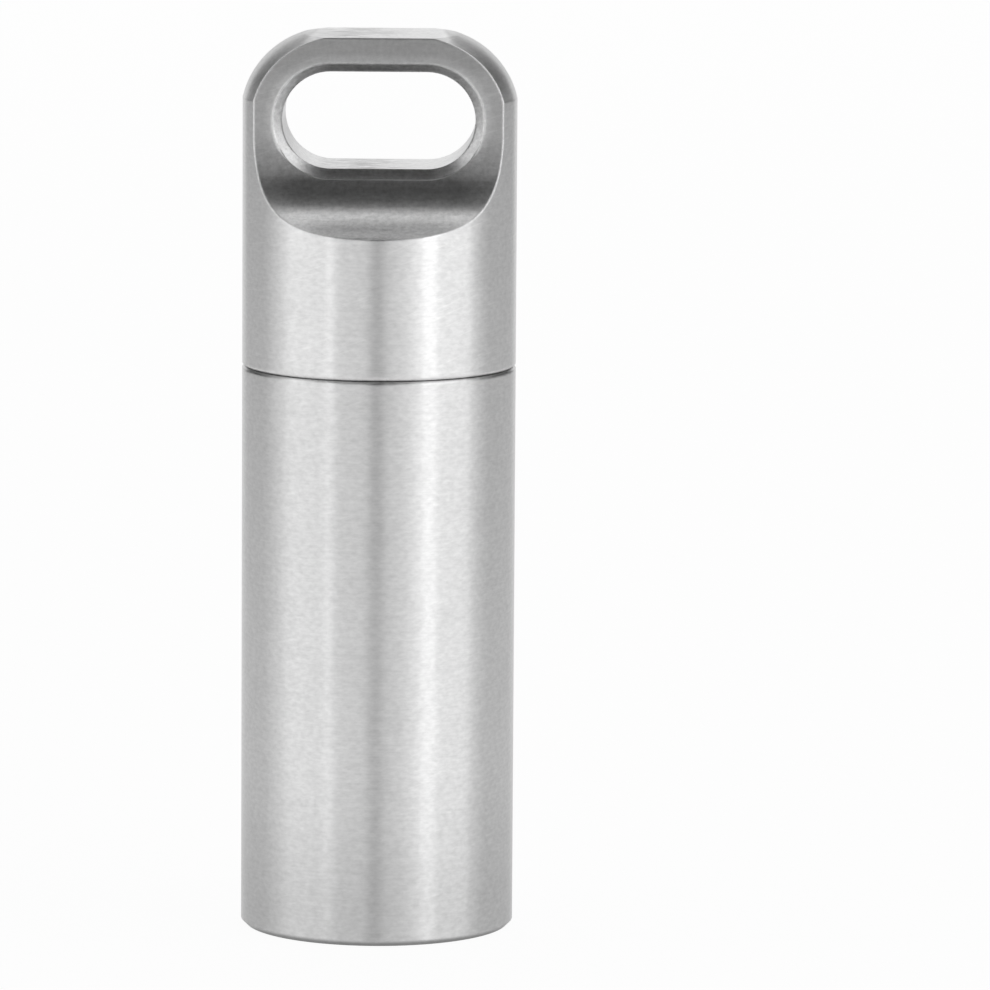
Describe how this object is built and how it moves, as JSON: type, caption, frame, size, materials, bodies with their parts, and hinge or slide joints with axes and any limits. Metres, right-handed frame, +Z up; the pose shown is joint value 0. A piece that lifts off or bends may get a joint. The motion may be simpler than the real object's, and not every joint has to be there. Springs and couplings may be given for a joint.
{
  "type": "pill fob keychain",
  "caption": "Slim round steel pill capsule that stands on its base, with a screw-on cap, a flat milled key loop and white seal rings inside.",
  "frame": {"origin": "centre of the base, on the surface that the case stands on", "axes": "+Z up along the case's axis, with the key loop's flat cheeks facing -Y (front) and +Y (back)"},
  "size_m": [0.017, 0.017, 0.0558],
  "materials": {
    "tube_steel": "turned and brushed round the axis, satin",
    "cap_steel": "brushed round the axis, with finely milled cheeks and scoops",
    "seal_silicone": "smooth white silicone, slightly translucent"
  },
  "bodies": {
    "tube": {"case_tube": "tube_steel"},
    "seals": {"upper_seal_ring": "seal_silicone", "lower_seal_ring": "seal_silicone"},
    "cap": {"threaded_cap": "cap_steel"}
  },
  "joints": [
    {"name": "cap_turn", "type": "hinge", "parent": "seals", "child": "cap", "pos_m": [0, 0, 0.0352], "axis": [0, 0, 1], "range_deg": [0, 4410]},
    {"name": "cap_advance", "type": "slide", "parent": "tube", "child": "seals", "axis": [0, 0, 1], "range_m": [0, 0.01837]}
  ],
  "couplings": [
    {"joint": "cap_turn", "follows": "cap_advance", "rad_per_m": 4188.8}
  ]
}
